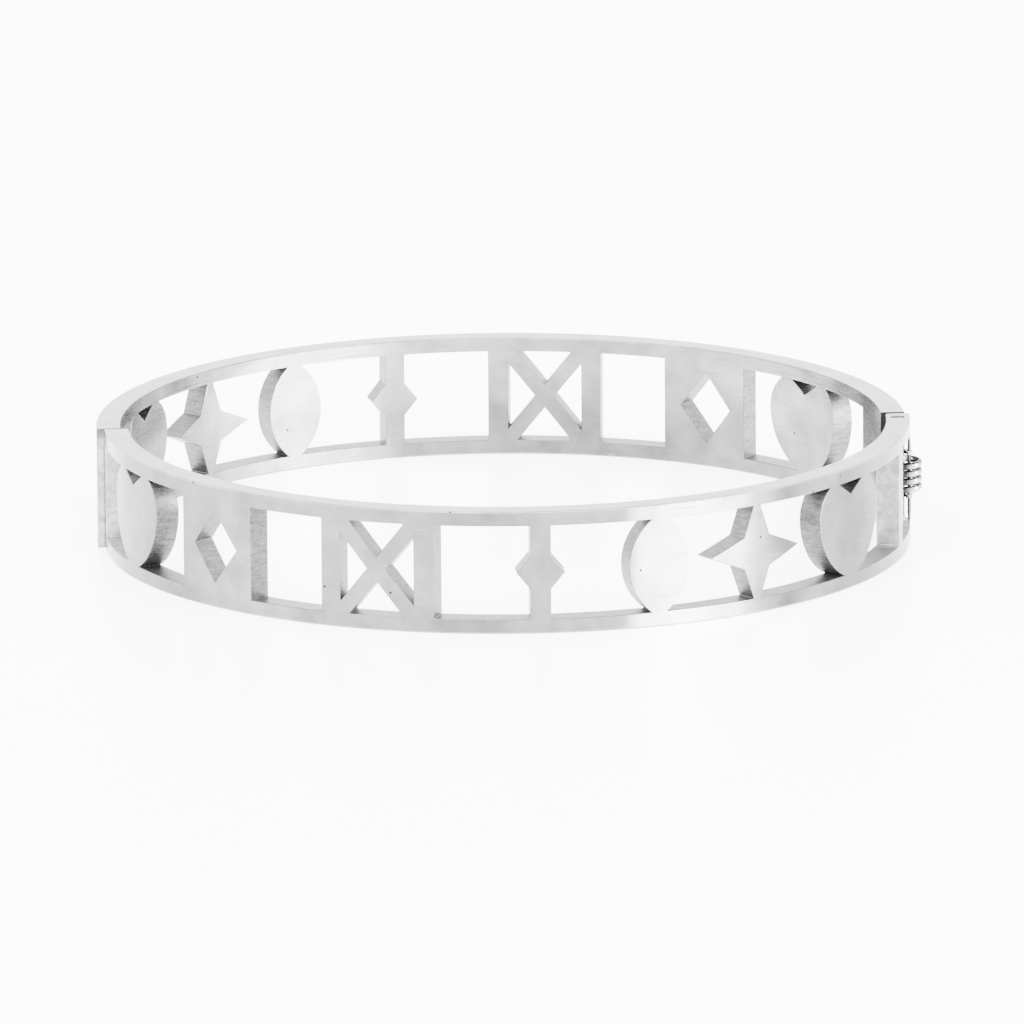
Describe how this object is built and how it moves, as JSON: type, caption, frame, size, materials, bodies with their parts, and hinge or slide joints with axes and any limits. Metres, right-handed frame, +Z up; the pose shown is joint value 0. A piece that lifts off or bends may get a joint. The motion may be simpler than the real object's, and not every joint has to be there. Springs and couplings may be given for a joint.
{
  "type": "nameplate bracelet",
  "caption": "Hinged round bangle of two pierced half bands with hearts and plain geometric ornaments, a sprung pin hinge and a hidden tab clasp.",
  "frame": {"origin": "centre of the outline, on the surface that the lower rim rests on", "axes": "+Z up through the wrist opening, hinge at +X, clasp at -X, front half towards -Y"},
  "size_m": [0.0656, 0.064, 0.0097],
  "materials": {
    "polished_steel": "polished stainless steel, lightly scratched, with sandy cut walls",
    "pin_steel": "drawn steel wire, left bright",
    "spring_wire": "drawn spring wire, smooth"
  },
  "bodies": {
    "back_half": {"back_half": "polished_steel", "clasp_tab": "pin_steel"},
    "front_half": {"front_half": "polished_steel", "hinge_pin": "pin_steel", "hinge_spring": "spring_wire"}
  },
  "joints": [
    {"name": "hinge", "type": "hinge", "parent": "back_half", "child": "front_half", "pos_m": [0.03171, -0.00108, 0.00485], "axis": [0, 0, 1], "range_deg": [0, 70]}
  ]
}
